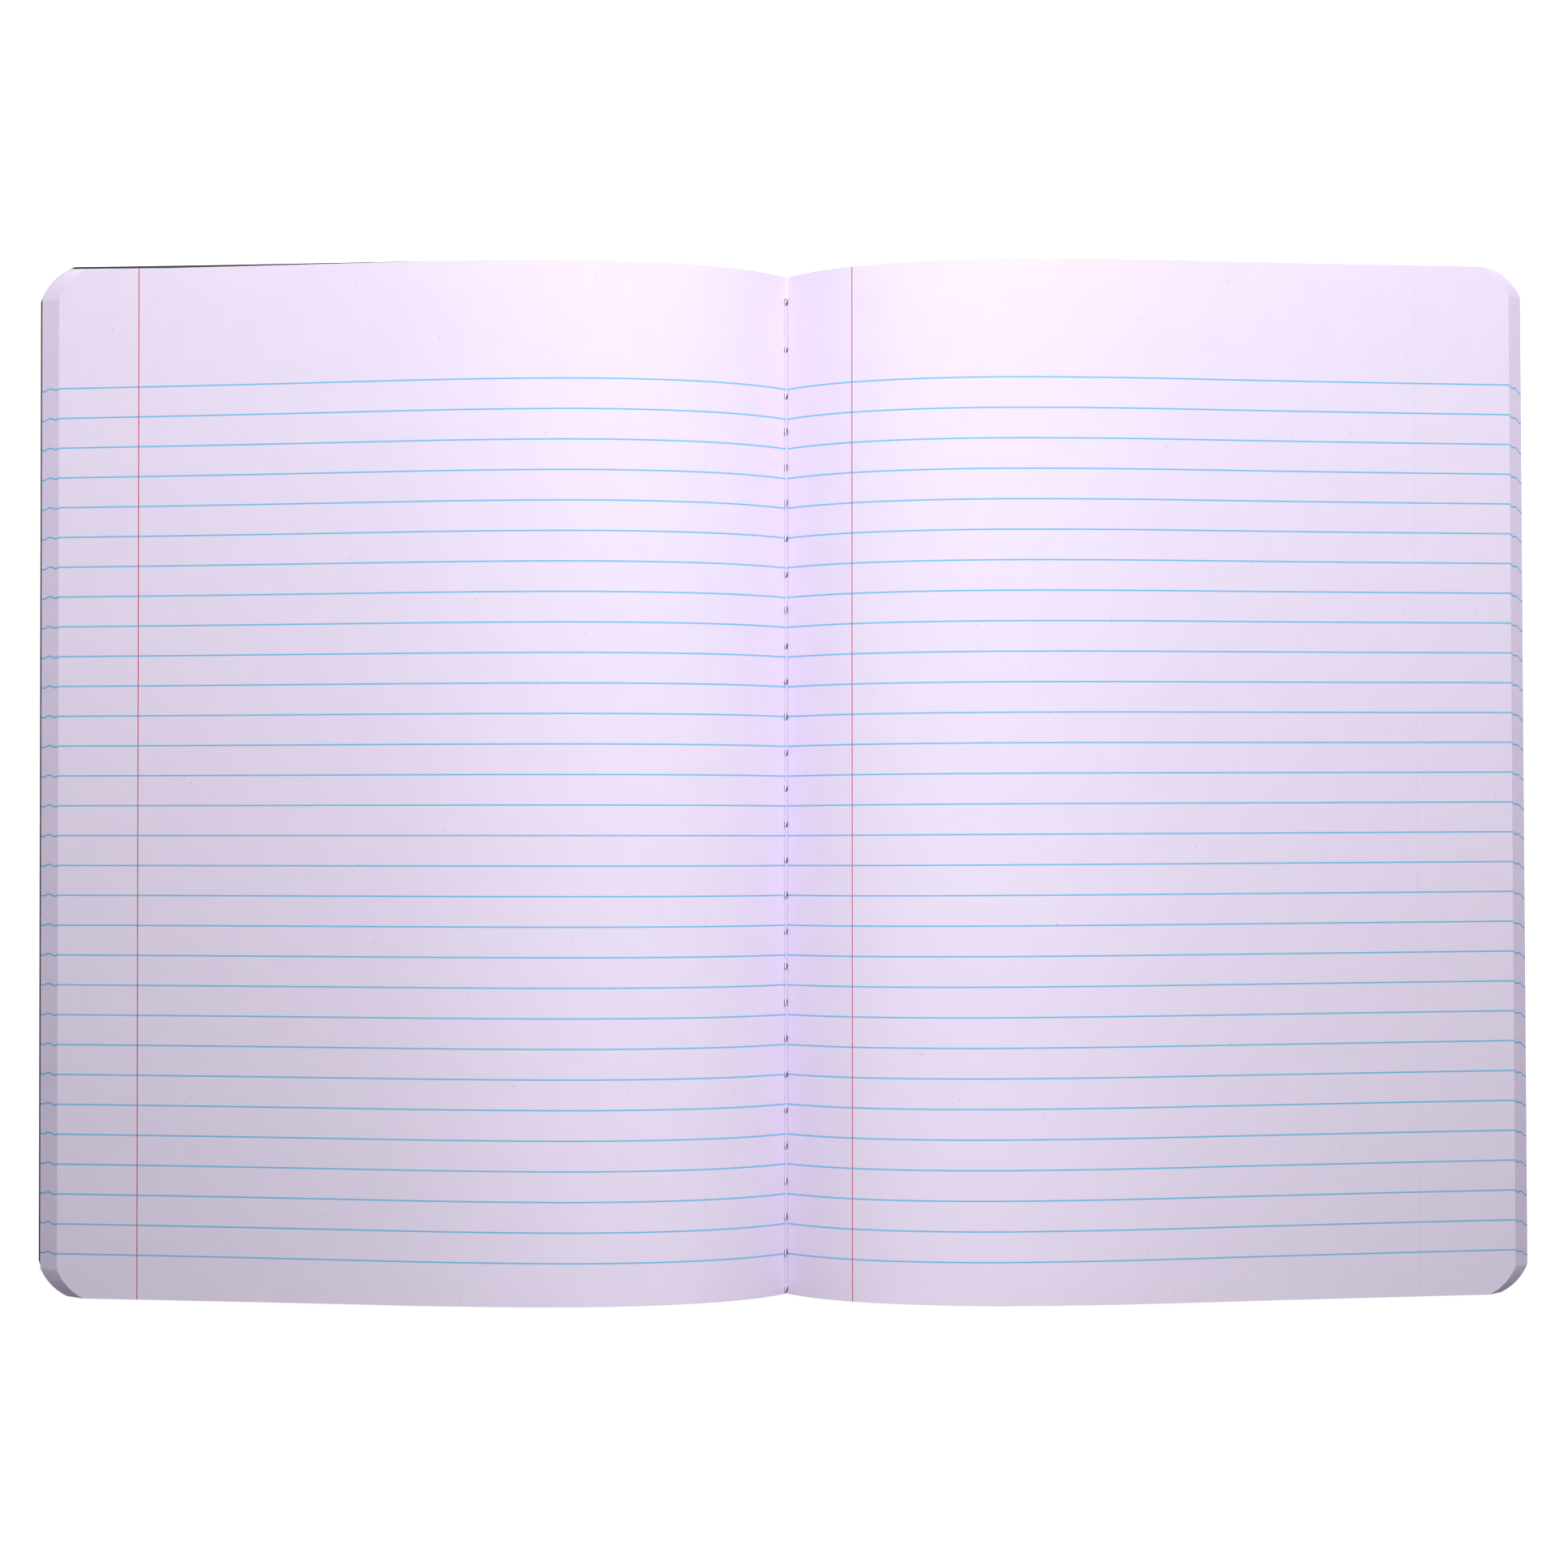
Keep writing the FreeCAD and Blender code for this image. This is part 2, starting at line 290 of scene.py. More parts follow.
def grow(name, start_mesh, tree, eased=0.0, **values):
    """Runs a tree on a mesh, its edges eased first, and keeps the result as a plain mesh object.

    A value belongs to the tree's input of that name, with spaces for its underscores.
    """
    carrier = bpy.data.objects.new("carrier", start_mesh)
    bpy.context.scene.collection.objects.link(carrier)
    if eased:
        bevel = carrier.modifiers.new("eased", "BEVEL")
        bevel.width = eased
        bevel.segments = 2
    modifier = carrier.modifiers.new("grow", "NODES")
    modifier.node_group = tree
    for socket in tree.interface.items_tree:
        label = socket.name.lower().replace(" ", "_")
        if socket.in_out == "INPUT" and label in values:
            modifier[socket.identifier] = values[label]
    evaluated = carrier.evaluated_get(bpy.context.evaluated_depsgraph_get())
    mesh = bpy.data.meshes.new_from_object(evaluated)
    bpy.data.objects.remove(carrier)
    mesh.shade_smooth()
    mesh.set_sharp_from_angle(angle=math.radians(40))
    piece = bpy.data.objects.new(name, mesh)
    bpy.context.scene.collection.objects.link(piece)
    return piece


# Columns across a rounded corner, closer together toward the fore-edge, as shares of its cut
corner_shares = (1.0, 0.8, 0.6, 0.42, 0.25, 0.13, 0.05, 0.0)


def corner_drop(cut, from_end):
    """How far the head and foot edges give way at a rounded corner."""
    if from_end >= cut:
        return 0.0
    centre = (cut + math.sqrt(2 * corner_radius ** 2 - cut ** 2)) / 2
    return centre - math.sqrt(corner_radius ** 2 - (centre - from_end) ** 2)


def trimmed(share):
    """Y of the foot and the head edge, at a share of the way from the fold to the fore-edge."""
    swell = math.sqrt(share)
    foot = page_height / 2 + foot_at_fold + (foot_at_edge - foot_at_fold) * swell
    head = page_height / 2 + head_at_fold + (head_at_edge - head_at_fold) * swell
    return -foot, head


def blank(name, columns, edge_points, thickness, print_shift=0.0):
    """A closed flat blank, from points along Y in each column: foot, both ends of each gap, head.

    Its print map is in millimetres. The underside is mapped as if turned over, past a shift.
    """
    vertices, faces, rows = [], [], []
    for column in columns:
        row = []
        for y in edge_points(column):
            if not row or y != vertices[row[-1]][1]:
                vertices.append((column, y, 0.0))
                row.append(len(vertices) - 1)
            else:
                row.append(row[-1])
        rows.append(row)
    for near, far in zip(rows, rows[1:]):
        if len(near) == len(far):
            spans = [(near[i:i + 2], far[i:i + 2]) for i in range(0, len(near), 2)]
        else:
            spans = [(near, far)]
        for low, high in spans:
            faces.append(list(dict.fromkeys(high)) + list(dict.fromkeys(reversed(low))))
    count = len(vertices)
    edges = {(a, b) for face in faces for a, b in zip(face, face[1:] + face[:1])}
    rims = [(a, b) for a, b in edges if (b, a) not in edges]
    vertices += [(x, y, -thickness) for x, y, z in vertices]
    under = [[index + count for index in reversed(face)] for face in faces]
    walls = [[b, a, a + count, b + count] for a, b in sorted(rims)]
    mesh = bpy.data.meshes.new(name)
    mesh.from_pydata(vertices, [], faces + under + walls)
    layer = mesh.uv_layers.new(name="print")
    for polygon in mesh.polygons:
        turned = len(faces) <= polygon.index < len(faces) + len(under)
        for loop in polygon.loop_indices:
            x, y = vertices[mesh.loops[loop].vertex_index][:2]
            layer.data[loop].uv = ((-x / mm - print_shift) if turned else x / mm, y / mm)
    return mesh


def sheet_columns(reach):
    """Distances from the fold of the lines that a sheet bends along, wider apart as it flattens."""
    tight = [0.8, 1.2, 1.7, 2.3, 3.0, 3.8, 4.7, 5.6, 6.8, 8.2]
    curved = [8.2 + 3.3 * step for step in range(1, 22)]
    slack = [77.5 + 9.8 * step for step in range(1, 11)]
    rounded = [reach - share * leaf_corner_cut for share in corner_shares]
    return [place * mm for place in tight + curved + slack] + rounded


def sheet_edge_points(column):
    """Where a sheet begins and ends along Y, and the holes between."""
    reach = left_length if column < 0 else right_length
    foot, head = trimmed(abs(column) / reach)
    drop = corner_drop(leaf_corner_cut, reach - abs(column))
    share = (column - hole_centre) / hole_half_width
    points = [foot + drop]
    if abs(share) < 1.001:
        gap = hole_half_length * math.sqrt(max(0.0, 1 - share ** 2))
        for place in reversed(hole_places):
            points += [place - gap, place + gap]
    return points + [head - drop]


# The print on a leaf's back lies this many millimetres past the mirror image of its front
back_shift = 4.0
hole_shares = (-1.0, -0.8, -0.45, 0.0, 0.45, 0.8, 1.0)
hole_columns = [hole_centre + share * hole_half_width for share in hole_shares]
columns = [-column for column in reversed(sheet_columns(left_length))]
columns += hole_columns + sheet_columns(right_length)
sheet = blank("sheet", columns, sheet_edge_points, sheet_thickness, print_shift=back_shift)


def colour(code):
    """A linear colour from its sRGB hex code."""
    channels = [int(code[i:i + 2], 16) / 255 for i in (0, 2, 4)]
    linear = [c / 12.92 if c <= 0.04045 else ((c + 0.055) / 1.055) ** 2.4 for c in channels]
    return (*linear, 1.0)


def new_material(name):
    """A material and its empty node tree."""
    made = bpy.data.materials.new(name)
    made.use_nodes = True
    made.node_tree.nodes.clear()
    return made, made.node_tree


# Uncoated writing paper, calendered smooth: a matt cool lilac white with soft fibre clouds,
# printed with thirty faint blue rules and one rose margin rule on each side, which show through
# a little. All sizes are in millimetres, as in the print map.
paper, tree = new_material("ruled_writing_paper")
rule_pitch, rules, header, rule_width = 7.144, 30, 27.8, 0.36
margin_left, margin_right, margin_width = -166.2, 22.75, 0.27
ink_edge, ink_grain = 0.05, 1 / 3
show_through = 0.06
fibre_cloud, felt_mark = 25 / 3, 0.625
bark_spacing, bark_width = 100 / 3, 1 / 3
# Inner and outer width, in millimetres from the fold, and strength of the painted shade along the fold
crease_core, crease_end, crease_shade_strength = 0.2, 0.9, 0.3

uv = add(tree, "ShaderNodeUVMap", uv_map="print")
printed = add(tree, "ShaderNodeSeparateXYZ", uv)
along, up = printed.outputs[0], printed.outputs[1]
leaf = add(tree, "ShaderNodeAttribute", attribute_name="layer")
number = leaf.outputs["Fac"]
share = add(tree, "ShaderNodeMath", number, float(sheets), operation="DIVIDE")

# Each sheet's rules are printed a little off those of the sheet above, in a slow wave down the
# stack, and on the right they also drift toward the foot: seen on the fore-edges
wave_turn, wave_height, right_fall = 9.0, 0.24, 1.65
swing = add(tree, "ShaderNodeMath", share, wave_turn, operation="MULTIPLY")
wave = add(tree, "ShaderNodeMath", swing, operation="SINE")
left_drift = add(tree, "ShaderNodeMath", wave, wave_height, operation="MULTIPLY")
right_drift = add(tree, "ShaderNodeMath", share, right_fall, left_drift, operation="MULTIPLY_ADD")
is_right = add(tree, "ShaderNodeMath", along, 0.0, operation="GREATER_THAN")
drift = add(tree, "ShaderNodeMix", is_right, left_drift, right_drift)
straight = add(tree, "ShaderNodeMath", up, drift, operation="ADD")

first_rule = page_height / mm / 2 - header
from_first = add(tree, "ShaderNodeMath", first_rule, straight, operation="SUBTRACT")
in_pitches = add(tree, "ShaderNodeMath", from_first, rule_pitch, operation="DIVIDE")
centred = add(tree, "ShaderNodeMath", in_pitches, 0.5, operation="ADD")
part = add(tree, "ShaderNodeMath", centred, operation="FRACT")
off = add(tree, "ShaderNodeMath", part, 0.5, operation="SUBTRACT")
away = add(tree, "ShaderNodeMath", off, operation="ABSOLUTE")
away_mm = add(tree, "ShaderNodeMath", away, rule_pitch, operation="MULTIPLY")
half_rule = rule_width / 2
rule = add(tree, "ShaderNodeMapRange", away_mm, half_rule - ink_edge, half_rule + ink_edge, 1.0, 0.0)
first = add(tree, "ShaderNodeMath", centred, 0.0, operation="GREATER_THAN")
last = add(tree, "ShaderNodeMath", centred, float(rules), operation="LESS_THAN")
within = add(tree, "ShaderNodeMath", first, last, operation="MULTIPLY")
rule_ink = add(tree, "ShaderNodeMath", rule, within, operation="MULTIPLY")

# Margin rules of the front of the leaf, and those of its back, which show through
margins = []
half_margin = margin_width / 2
for place in (margin_left, margin_right, -margin_right - back_shift, -margin_left - back_shift):
    aside = add(tree, "ShaderNodeMath", along, place, operation="SUBTRACT")
    aside = add(tree, "ShaderNodeMath", aside, operation="ABSOLUTE")
    inked = add(tree, "ShaderNodeMapRange", aside, half_margin - ink_edge, half_margin + ink_edge, 1.0, 0.0)
    margins.append(inked)
margin_ink = add(tree, "ShaderNodeMath", margins[0], margins[1], operation="MAXIMUM")
seen_through = add(tree, "ShaderNodeMath", margins[2], margins[3], operation="MAXIMUM")
faint = add(tree, "ShaderNodeMath", seen_through, show_through, operation="MULTIPLY")

# Ink takes unevenly on the fibres, in grains of about a third of a millimetre
grain = add(tree, "ShaderNodeTexNoise", uv, 1 / ink_grain, 3.0, noise_dimensions="2D")
take = add(tree, "ShaderNodeMapRange", grain, 0.3, 0.7, 0.82, 1.0)
rule_cover = add(tree, "ShaderNodeMath", rule_ink, take, operation="MULTIPLY")
margin_cover = add(tree, "ShaderNodeMath", margin_ink, take, operation="MULTIPLY")

# Fibre clouds of about a centimetre and felt marks of under a millimetre vary the white, and a
# few specks of bark a third of a millimetre across are caught in the sheet
clouds = add(tree, "ShaderNodeTexNoise", uv, 1 / fibre_cloud, 2.0, noise_dimensions="2D")
felt = add(tree, "ShaderNodeTexNoise", uv, 1 / felt_mark, 6.0, noise_dimensions="2D")
tint = add(tree, "ShaderNodeMath", clouds, 0.6, operation="MULTIPLY")
tint = add(tree, "ShaderNodeMath", felt, 0.4, tint, operation="MULTIPLY_ADD")
bark = add(tree, "ShaderNodeTexVoronoi", uv, 1 / bark_spacing, voronoi_dimensions="2D", normalize=False)
speck = add(tree, "ShaderNodeMath", bark, bark_width / 2 / bark_spacing, operation="LESS_THAN")
speck = add(tree, "ShaderNodeMath", speck, 0.35, operation="MULTIPLY")
white = add(tree, "ShaderNodeMix", tint, colour("ECE0F8"), colour("F2E6FC"), data_type="RGBA")
specked = add(tree, "ShaderNodeMix", speck, white, colour("6E6478"), data_type="RGBA")

# Painted shade along the fold: within about a millimetre of it the paper is mixed toward a duller lilac
# grey, to tone down the lamp-lit strip at the bottom of the crease
from_crease = add(tree, "ShaderNodeMath", along, operation="ABSOLUTE")
painted_crease_shade = add(
    tree, "ShaderNodeMapRange", from_crease, crease_core, crease_end, crease_shade_strength, 0.0
)
crease_shaded = add(tree, "ShaderNodeMix", painted_crease_shade, specked, colour("CBBEDC"), data_type="RGBA")
through = add(tree, "ShaderNodeMix", faint, crease_shaded, colour("9A6A86"), data_type="RGBA")
ruled = add(tree, "ShaderNodeMix", rule_cover, through, colour("61C3ED"), data_type="RGBA")
lined = add(tree, "ShaderNodeMix", margin_cover, ruled, colour("CC4A58"), data_type="RGBA")
bump = add(tree, "ShaderNodeBump", 0.25, 0.02 * mm, 0.1, felt)
finish = add(tree, "ShaderNodeBsdfPrincipled")
tree.links.new(lined.outputs["Result"], finish.inputs["Base Color"])
tree.links.new(bump.outputs[0], finish.inputs["Normal"])
finish.inputs["Roughness"].default_value = 0.82
finish.inputs["Specular IOR Level"].default_value = 0.2
add(tree, "ShaderNodeOutputMaterial", finish)

# A lower leaf runs round a longer bow and on past the leaf above: its growth for each metre that
# it lies deeper
growth_left = (end_slope + left_rise + left_stagger / stack_thickness) / left_length
growth_right = (end_slope + right_rise + right_stagger / stack_thickness) / right_length

leaves = grow(
    "leaves",
    sheet,
    bow_tree,
    layers=sheets,
    layer_pitch=sheet_pitch,
    growth_left=growth_left,
    growth_right=growth_right,
    material=paper,
)
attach(leaves, "page_block")
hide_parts("pages")


# Covers. Two stiff boards of pulp, covered outside in black paper with a fine pressed grain and
# lined inside with white paper that stops just short of the edge. Their corners are die-cut a
# little rounder than those of the leaves, and only the spine tape holds them.
cover_corner_cut = 8.6 * mm
front_out_of_square = 1.6 * mm
board_edge = 0.25 * mm
board_columns = 48

# In millimetres: the grain of the board paper, how far the lining stops short of the edge, and
# how far past the inside the outside is mapped, so that the two are told apart
pebble, board_fibre, rubbed_patch = 0.625, 10 / 9, 20.0
lining_margin = 0.5
outside_shift = 1000.0


def board_material(name, reach, out_of_square):
    """Black board paper outside and round the edges, and the white lining inside.

    The black is satin with pebbles of 0.6 mm over fibres of 1 mm, rubbed greyer and smoother in
    patches of 20 mm. The lining is plain matt paper.
    """
    board, tree = new_material(name)
    uv = add(tree, "ShaderNodeUVMap", uv_map="print")
    pebbles = add(
        tree, "ShaderNodeTexVoronoi", uv, 1 / pebble, voronoi_dimensions="2D", feature="SMOOTH_F1"
    )
    fibres = add(tree, "ShaderNodeTexNoise", uv, 1 / board_fibre, 5.0, 0.6, noise_dimensions="2D")
    rubbed = add(tree, "ShaderNodeTexNoise", uv, 1 / rubbed_patch, 4.0, 0.65, noise_dimensions="2D")
    worn = add(tree, "ShaderNodeMapRange", rubbed, 0.45, 0.75, 0.0, 1.0)
    relief = add(tree, "ShaderNodeMath", fibres, 0.5, pebbles, operation="MULTIPLY_ADD")
    dye = add(tree, "ShaderNodeMix", fibres, colour("121114"), colour("1E1C20"), data_type="RGBA")
    faded = add(tree, "ShaderNodeMix", worn, dye, colour("29272B"), data_type="RGBA")
    gloss = add(tree, "ShaderNodeMapRange", rubbed, 0.3, 0.7, 0.42, 0.58)

    # The lining ends at a straight line along each edge of the inner face
    place = add(tree, "ShaderNodeSeparateXYZ", uv)
    out, up = place.outputs[0], place.outputs[1]
    lined = add(tree, "ShaderNodeMath", out, -outside_shift / 2, operation="GREATER_THAN")
    away = add(tree, "ShaderNodeMath", out, operation="ABSOLUTE")
    within = add(tree, "ShaderNodeMath", away, reach / mm - lining_margin, operation="LESS_THAN")
    lined = add(tree, "ShaderNodeMath", lined, within, operation="MULTIPLY")
    foot_fold, head_fold = trimmed(0.0)
    foot_edge, head_edge = trimmed(1.0)
    head_slope = (head_edge + out_of_square - head_fold) / reach
    foot_slope = (foot_edge - foot_fold) / reach
    for slope, start, compare in (
        (head_slope, head_fold / mm - lining_margin, "LESS_THAN"),
        (foot_slope, foot_fold / mm + lining_margin, "GREATER_THAN"),
    ):
        edge = add(tree, "ShaderNodeMath", away, slope, start, operation="MULTIPLY_ADD")
        within = add(tree, "ShaderNodeMath", up, edge, operation=compare)
        lined = add(tree, "ShaderNodeMath", lined, within, operation="MULTIPLY")
    lining = add(tree, "ShaderNodeMix", fibres, colour("E6DEEA"), colour("F0E9F4"), data_type="RGBA")
    shown = add(tree, "ShaderNodeMix", lined, faded, lining, data_type="RGBA")
    gloss = add(tree, "ShaderNodeMix", lined, gloss, 0.8)
    bump = add(tree, "ShaderNodeBump", 0.5, 0.06 * mm, 0.1, relief)
    finish = add(tree, "ShaderNodeBsdfPrincipled")
    tree.links.new(shown.outputs["Result"], finish.inputs["Base Color"])
    tree.links.new(gloss.outputs[0], finish.inputs["Roughness"])
    tree.links.new(bump.outputs[0], finish.inputs["Normal"])
    finish.inputs["Specular IOR Level"].default_value = 0.4
    add(tree, "ShaderNodeOutputMaterial", finish)
    return board


def cover(body, side, rise, run_out, out_of_square):
    """One board, cut flat from the edge of the fold to its fore-edge and laid over its bow."""
    start = (fold_radius + board_depth) * rise
    reach = start + (shoulder_radius - board_depth) * shoulder_turn
    reach += (crest_radius - board_depth) * crest_turn
    reach += (back_radius - board_depth) * back_turn
    reach += (tail_radius + board_depth) * tail_turn + run_out
    spacing = (reach - cover_corner_cut - start) / board_columns
    places = [start + spacing * step for step in range(board_columns)]
    places += [reach - share * cover_corner_cut for share in corner_shares]
    columns = sorted(side * place for place in places)

    def ends(column):
        share = abs(column) / reach
        foot, head = trimmed(share)
        drop = corner_drop(cover_corner_cut, reach - abs(column))
        return [foot + drop, head + out_of_square * share - drop]

    piece = grow(
        f"{body}_board",
        blank(f"{body}_blank", columns, ends, board_thickness, print_shift=outside_shift),
        bow_tree,
        eased=board_edge,
        depth=board_depth,
        thickness=board_thickness,
        material=board_material(f"{body}_board_paper", reach, out_of_square),
    )
    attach(piece, body)
    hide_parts(body)


cover("front_cover", -1, left_rise, left_stagger + left_overhang, front_out_of_square)
cover("back_cover", 1, right_rise, right_stagger + right_overhang, 0.0)


# Spine tape. One strip of black book cloth, glued round the spine and onto both boards. It is
# made in two halves that meet under the spine, so that each bends with its own cover.
glue_gap = 0.1 * mm
tape_depth = board_depth + board_thickness + glue_gap
tape_thickness = 0.25 * mm
tape_reach = 25.0 * mm
tape_trim_share = 0.1
bend_columns, reach_columns = 10, 12

# Black book cloth, woven plain of half-millimetre yarns and filled with starch: a dull black with a fine
# chequer of ribs and a little sheen, the ribs painted lighter on their crests and darker between them as
# painted highlight and shade, and slubs of about two millimetres
yarn_spacing, slub_length = 0.5, 5 / 3
cloth, tree = new_material("black_book_cloth")
uv = add(tree, "ShaderNodeUVMap", uv_map="print")
yarns = add(tree, "ShaderNodeVectorMath", uv, operation="SCALE")
yarns.inputs["Scale"].default_value = 1 / yarn_spacing
counted = add(tree, "ShaderNodeSeparateXYZ", yarns)
over = []
for direction in (0, 1):
    phase = add(tree, "ShaderNodeMath", counted.outputs[direction], math.pi, operation="MULTIPLY")
    swell = add(tree, "ShaderNodeMath", phase, operation="SINE")
    over.append(add(tree, "ShaderNodeMath", swell, operation="ABSOLUTE"))
woven = add(tree, "ShaderNodeTexChecker", yarns)
woven.inputs["Scale"].default_value = 1.0
weave = add(tree, "ShaderNodeMix", woven.outputs["Fac"], over[0], over[1])
slub = add(tree, "ShaderNodeTexNoise", uv, 1 / slub_length, 3.0, noise_dimensions="2D")
# Painted highlight and shade of the weave: the colour is lighter on the middle of each yarn and darker
# where the yarns meet, times a tone that varies at random along the slubs
weave_highlight_and_slub = add(tree, "ShaderNodeMath", weave, slub, operation="MULTIPLY")
dye = add(tree, "ShaderNodeMix", weave_highlight_and_slub, colour("0E0E10"), colour("2B2A2E"), data_type="RGBA")
bump = add(tree, "ShaderNodeBump", 0.7, 0.08 * mm, 0.1, weave)
finish = add(tree, "ShaderNodeBsdfPrincipled")
tree.links.new(dye.outputs["Result"], finish.inputs["Base Color"])
tree.links.new(bump.outputs[0], finish.inputs["Normal"])
finish.inputs["Roughness"].default_value = 0.75
finish.inputs["Sheen Weight"].default_value = 0.15
finish.inputs["Specular IOR Level"].default_value = 0.3
add(tree, "ShaderNodeOutputMaterial", finish)


def tape_half(name, side, rise):
    """The tape from the middle of the spine to its edge on one board."""
    bend = (fold_radius + tape_depth) * rise
    places = [bend * step / bend_columns for step in range(bend_columns)]
    places += [bend + tape_reach * step / reach_columns for step in range(reach_columns + 1)]
    columns = sorted(side * place for place in places)
    flat = blank(f"{name}_blank", columns, lambda column: trimmed(tape_trim_share), tape_thickness)
    piece = grow(name, flat, bow_tree, depth=tape_depth, thickness=tape_thickness, material=cloth)
    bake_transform(piece)
    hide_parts("spine_tape")


tape_half("front_half_of_tape", -1, left_rise)
tape_half("back_half_of_tape", 1, right_rise)


# Sewing. A lockstitch of two white cotton threads through the fold: one lies inside it on the
# pages, the other outside it under the tape, with a loop up through each needle hole.
thread_radius = 0.22 * mm
ply_pitch = 1.5 * mm
thread_end = 0.5 * mm
seam_top = fold_height - fold_radius
inner_height = seam_top + thread_radius + 0.03 * mm
outer_height = tape_thickness + thread_radius + 0.04 * mm

# Bleached cotton, spun and lightly waxed: a soft cool white with fibres a tenth of a millimetre
# thick that catch a faint sheen
cotton_fibre = 1 / 9000
cotton, tree = new_material("white_cotton_thread")
at = add(tree, "ShaderNodeTexCoord").outputs["Object"]
fibre = add(tree, "ShaderNodeTexNoise", at, 1 / cotton_fibre, 3.0)
spun = add(tree, "ShaderNodeMix", fibre, colour("E0D6EE"), colour("F4ECFC"), data_type="RGBA")
bump = add(tree, "ShaderNodeBump", 0.4, 0.03 * mm, 0.1, fibre)
finish = add(tree, "ShaderNodeBsdfPrincipled")
tree.links.new(spun.outputs["Result"], finish.inputs["Base Color"])
tree.links.new(bump.outputs[0], finish.inputs["Normal"])
finish.inputs["Roughness"].default_value = 0.7
finish.inputs["Sheen Weight"].default_value = 0.2
add(tree, "ShaderNodeOutputMaterial", finish)

# Three plies twisted into one thread, along any curve. The groove between two plies is a share
# of the radius.
ply_tree, given = new_tree(
    "plied_thread",
    {
        "Path": None,
        "Radius": thread_radius,
        "Ply pitch": ply_pitch,
        "Plies": 3,
        "Groove": 0.72,
        "Step": 0.14 * mm,
    },
    {"Thread": "NodeSocketGeometry"},
)
fine = add(ply_tree, "GeometryNodeResampleCurve", given["Path"], None, given["Step"], mode="LENGTH")
spot = add(ply_tree, "GeometryNodeSplineParameter").outputs["Length"]
turns = add(ply_tree, "ShaderNodeMath", spot, given["Ply pitch"], operation="DIVIDE")
twist = add(ply_tree, "ShaderNodeMath", turns, 2 * math.pi, operation="MULTIPLY")
twisted = add(ply_tree, "GeometryNodeSetCurveTilt", fine, None, twist)
groove = add(ply_tree, "ShaderNodeMath", given["Radius"], given["Groove"], operation="MULTIPLY")
plies = add(ply_tree, "GeometryNodeCurveStar", given["Plies"], groove, given["Radius"], 0.0)
thread = add(ply_tree, "GeometryNodeCurveToMesh", twisted, plies)
thread.inputs["Fill Caps"].default_value = True
add(ply_tree, "NodeGroupOutput", thread)

# Places of the needle holes from head to foot
hole_tree, given = new_tree(
    "needle_holes",
    {
        "Holes": holes,
        "First hole": first_hole,
        "Long stitch": long_stitch,
        "Long stitches": long_stitches,
        "Stitch": stitch,
        "Height": seam_top,
    },
    {"Points": "NodeSocketGeometry"},
)
made = add(hole_tree, "GeometryNodePoints", given["Holes"])
index = add(hole_tree, "GeometryNodeInputIndex")
long_count = add(hole_tree, "ShaderNodeMath", index, given["Long stitches"], operation="MINIMUM")
short_count = add(hole_tree, "ShaderNodeMath", index, long_count, operation="SUBTRACT")
long_run = add(hole_tree, "ShaderNodeMath", long_count, given["Long stitch"], operation="MULTIPLY")
down = add(hole_tree, "ShaderNodeMath", short_count, given["Stitch"], long_run, operation="MULTIPLY_ADD")
level = add(hole_tree, "ShaderNodeMath", given["First hole"], down, operation="SUBTRACT")
spot = add(hole_tree, "ShaderNodeCombineXYZ", 0.0, level, given["Height"])
add(hole_tree, "NodeGroupOutput", add(hole_tree, "GeometryNodeSetPosition", made, None, spot))

# The thread inside the fold: nearly straight from hole to hole, swaying a little, and drawn down
# and to the left at each, where the loop holds it
inner_tree, given = new_tree(
    "inner_run",
    {
        "Start": hole_places[0] + thread_end,
        "Stop": hole_places[-1] - thread_end,
        "Height": inner_height,
        "Step": 0.3 * mm,
        "Held width": 0.3 * mm,
        "Dip": 0.2 * mm,
        "Dip width": 1.6 * mm,
        "Pull": -0.4 * mm,
        "Sway": 0.3 * mm,
        "Sways per metre": 60.0,
        "Material": "",
    },
    {"Piece": "NodeSocketGeometry"},
)
start = add(inner_tree, "ShaderNodeCombineXYZ", 0.0, given["Start"], given["Height"])
stop = add(inner_tree, "ShaderNodeCombineXYZ", 0.0, given["Stop"], given["Height"])
run_line = add(inner_tree, "GeometryNodeCurvePrimitiveLine", start, stop, mode="POINTS")
fine = add(inner_tree, "GeometryNodeResampleCurve", run_line, None, given["Step"], mode="LENGTH")
needle_holes = add(inner_tree, "GeometryNodeGroup", node_tree=hole_tree)
nearest = add(inner_tree, "GeometryNodeProximity", needle_holes, target_element="POINTS")
hug = add(
    inner_tree,
    "ShaderNodeMapRange",
    nearest.outputs["Distance"],
    given["Held width"],
    given["Dip width"],
    1.0,
    0.0,
    interpolation_type="SMOOTHSTEP",
)
sunk = add(inner_tree, "ShaderNodeMath", hug, given["Dip"], operation="MULTIPLY")
sunk = add(inner_tree, "ShaderNodeMath", sunk, -1.0, operation="MULTIPLY")
at_hand = add(inner_tree, "GeometryNodeInputPosition")
wander = add(inner_tree, "ShaderNodeTexNoise", at_hand, given["Sways per metre"], 1.0)
swayed = add(inner_tree, "ShaderNodeMath", wander, 0.5, operation="SUBTRACT")
swayed = add(inner_tree, "ShaderNodeMath", swayed, given["Sway"], operation="MULTIPLY")
pulled = add(inner_tree, "ShaderNodeMath", hug, given["Pull"], swayed, operation="MULTIPLY_ADD")
shift = add(inner_tree, "ShaderNodeCombineXYZ", pulled, 0.0, sunk)
drawn = add(inner_tree, "GeometryNodeSetPosition", fine, None, None, shift)
spun = add(inner_tree, "GeometryNodeGroup", drawn, node_tree=ply_tree)
whole = add(inner_tree, "GeometryNodeRealizeInstances", spun)
finished = add(inner_tree, "GeometryNodeSetMaterial", whole, None, given["Material"])
add(inner_tree, "NodeGroupOutput", finished)

